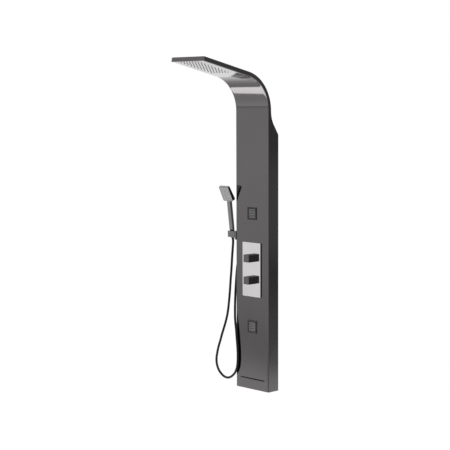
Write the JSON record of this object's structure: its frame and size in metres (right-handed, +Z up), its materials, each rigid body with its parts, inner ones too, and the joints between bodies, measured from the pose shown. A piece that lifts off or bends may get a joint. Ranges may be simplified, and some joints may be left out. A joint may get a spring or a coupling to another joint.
{
  "type": "shower column",
  "caption": "Wall-hung sheet-metal shower column that bends into a rain head, with square body jets, cube knobs on a bright plate, a cascade slot and a hand shower on a hose.",
  "frame": {"origin": "middle of the back face of the upper wall bracket, on the wall", "axes": "+Z up, +Y into the wall so the column faces -Y, +X to the user's right as they face the column"},
  "size_m": [0.329, 0.4359, 1.4466],
  "materials": {
    "gunmetal": "dark gunmetal coating, glossy",
    "mirror_steel": "mirror polished",
    "brass": "plain cast and turned",
    "steel": "plain",
    "black_plastic": "satin black",
    "grey_plastic": "satin",
    "pale_plastic": "moulded",
    "silicone": "soft silicone",
    "rubber": "plain",
    "black_hose": "smooth black skin"
  },
  "bodies": {
    "column": {"front_shell": "gunmetal", "back_cover": "gunmetal", "nozzle_mat": "silicone", "rain_chamber": "pale_plastic", "rain_connector": "brass", "control_plate": "mirror_steel", "plate_nut_1": "steel", "plate_nut_2": "steel", "plate_nut_3": "steel", "plate_nut_4": "steel", "diverter_cartridge": "pale_plastic", "diverter_cartridge_nut": "brass", "mixer_cartridge": "pale_plastic", "mixer_cartridge_nut": "brass", "valve_body": "brass", "hot_inlet": "brass", "hot_check_valve": "grey_plastic", "cold_inlet": "brass", "cold_check_valve": "grey_plastic", "upper_jet_frame": "black_plastic", "upper_jet_housing": "black_plastic", "upper_jet_clamp": "steel", "lower_jet_frame": "black_plastic", "lower_jet_housing": "black_plastic", "lower_jet_clamp": "steel", "cascade_box": "black_plastic", "rain_tube": "pale_plastic", "jet_tee": "brass", "upper_jet_tube": "pale_plastic", "lower_jet_tube": "pale_plastic", "cascade_tube": "pale_plastic", "handset_tube": "pale_plastic", "outlet_elbow": "gunmetal", "outlet_backnut": "brass", "hose_nut": "gunmetal", "hose_washer": "rubber", "handset_holder": "gunmetal", "holder_base": "gunmetal", "holder_screw": "steel", "shower_hose": "black_hose", "upper_wall_bracket": "steel", "upper_hanger_rail": "steel", "lower_wall_bracket": "steel", "lower_hanger_rail": "steel"},
    "diverter": {"diverter_knob": "gunmetal", "diverter_knob_screw": "steel", "diverter_spindle": "brass"},
    "mixer": {"mixer_knob": "gunmetal", "mixer_knob_screw": "steel", "mixer_spindle": "brass"},
    "upper_jet": {"upper_jet_face": "grey_plastic"},
    "lower_jet": {"lower_jet_face": "grey_plastic"},
    "handset": {"handset_body": "gunmetal", "handset_spray_plate": "grey_plastic", "handset_hose_nut": "black_plastic", "handset_washer": "rubber"}
  },
  "joints": [
    {"name": "diverter_turn", "type": "hinge", "parent": "column", "child": "diverter", "pos_m": [0, -0.08, -0.4167], "axis": [0, -1, 0], "continuous": true},
    {"name": "mixer_turn", "type": "hinge", "parent": "column", "child": "mixer", "pos_m": [0, -0.08, -0.5133], "axis": [0, -1, 0], "range_deg": [0, 180]},
    {"name": "upper_jet_tilt", "type": "hinge", "parent": "column", "child": "upper_jet", "pos_m": [0, -0.055, -0.22235], "axis": [1, 0, 0], "range_deg": [-10, 10]},
    {"name": "lower_jet_tilt", "type": "hinge", "parent": "column", "child": "lower_jet", "pos_m": [0, -0.055, -0.72065], "axis": [1, 0, 0], "range_deg": [-10, 10]},
    {"name": "handset_lift", "type": "slide", "parent": "column", "child": "handset", "axis": [0, -0.1219, 0.9925], "range_m": [0, 0.06]}
  ]
}
